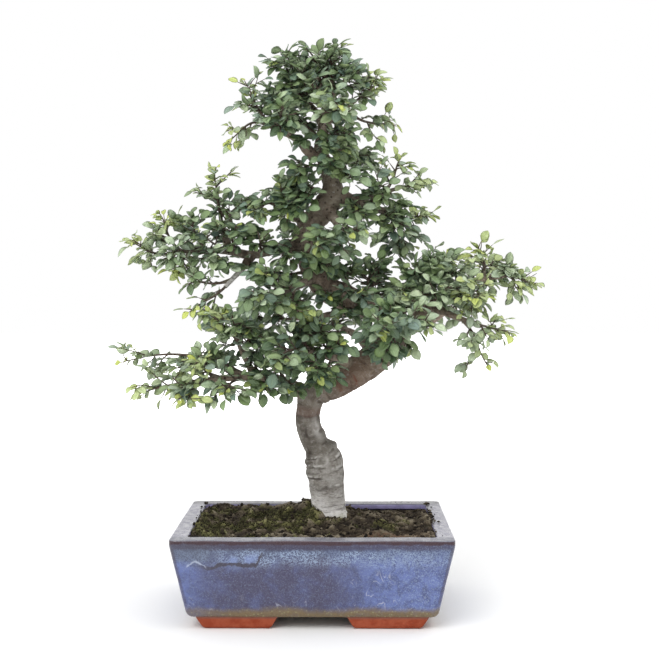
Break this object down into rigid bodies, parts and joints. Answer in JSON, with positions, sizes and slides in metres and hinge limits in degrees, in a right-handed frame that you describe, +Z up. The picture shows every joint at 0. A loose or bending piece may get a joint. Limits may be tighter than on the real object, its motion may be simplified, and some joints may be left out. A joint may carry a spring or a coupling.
{
  "type": "zelkova bonsai",
  "caption": "Small-leaved zelkova bonsai with a sweeping bent trunk and open leafy tiers, planted in a glazed rectangular pot on corner feet.",
  "frame": {"origin": "under the middle of the whole plant's bounding box, on the surface that the pot's feet stand on", "axes": "+Z up along the tree's height, +X along the pot's long side to the right as seen from the front, +Y towards the back"},
  "size_m": [0.4644, 0.292, 0.6002],
  "materials": {
    "glaze": "gloss",
    "screen": "matte",
    "soil": "matte",
    "bark": "matte",
    "leaf": "satin"
  },
  "bodies": {
    "root": {"pot": "glaze", "drain_screen_left": "screen", "drain_screen_right": "screen", "soil": "soil", "trunk_and_branches": "bark", "spray_low_left_tip": "leaf", "spray_low_left_under": "leaf", "spray_low_left_front": "leaf", "spray_low_left_crown": "leaf", "spray_low_left_inner": "leaf", "spray_low_left_back_tip": "leaf", "spray_low_left_back_side": "leaf", "spray_low_left_rise_tip": "leaf", "spray_low_left_rise_side": "leaf", "spray_low_front_tip": "leaf", "spray_low_front_side": "leaf", "spray_low_front_rise": "leaf", "spray_bend_right_tip": "leaf", "spray_bend_right_rise": "leaf", "spray_bend_right_back": "leaf", "spray_bend_right_fore": "leaf", "spray_bend_right_crown": "leaf", "spray_bend_drop_tip": "leaf", "spray_bend_drop_hang": "leaf", "spray_bend_front_tip": "leaf", "spray_bend_front_right": "leaf", "spray_bend_front_rise": "leaf", "spray_low_back_tip": "leaf", "spray_low_back_left": "leaf", "spray_low_back_right_tip": "leaf", "spray_low_back_right_side": "leaf", "spray_mid_back_left_tip": "leaf", "spray_mid_back_left_rise": "leaf", "spray_mid_left_tip": "leaf", "spray_mid_left_under": "leaf", "spray_mid_left_crown": "leaf", "spray_mid_left_back": "leaf", "spray_mid_left_drop_tip": "leaf", "spray_mid_left_rise_tip": "leaf", "spray_mid_left_rise_side": "leaf", "spray_mid_front_tip": "leaf", "spray_mid_front_side": "leaf", "spray_mid_back_tip": "leaf", "spray_mid_back_side": "leaf", "spray_high_left_tip": "leaf", "spray_high_left_rise": "leaf", "spray_high_right_tip": "leaf", "spray_high_right_drop": "leaf", "spray_high_rise_tip": "leaf", "spray_high_rise_crown": "leaf", "spray_high_front_tip": "leaf", "spray_high_front_side": "leaf", "spray_high_back_tip": "leaf", "spray_top_left_tip": "leaf", "spray_top_left_rise": "leaf", "spray_top_right_tip": "leaf", "spray_top_right_rise": "leaf", "spray_top_front_tip": "leaf", "spray_top_back_tip": "leaf", "spray_apex_tip": "leaf"}
  },
  "joints": []
}
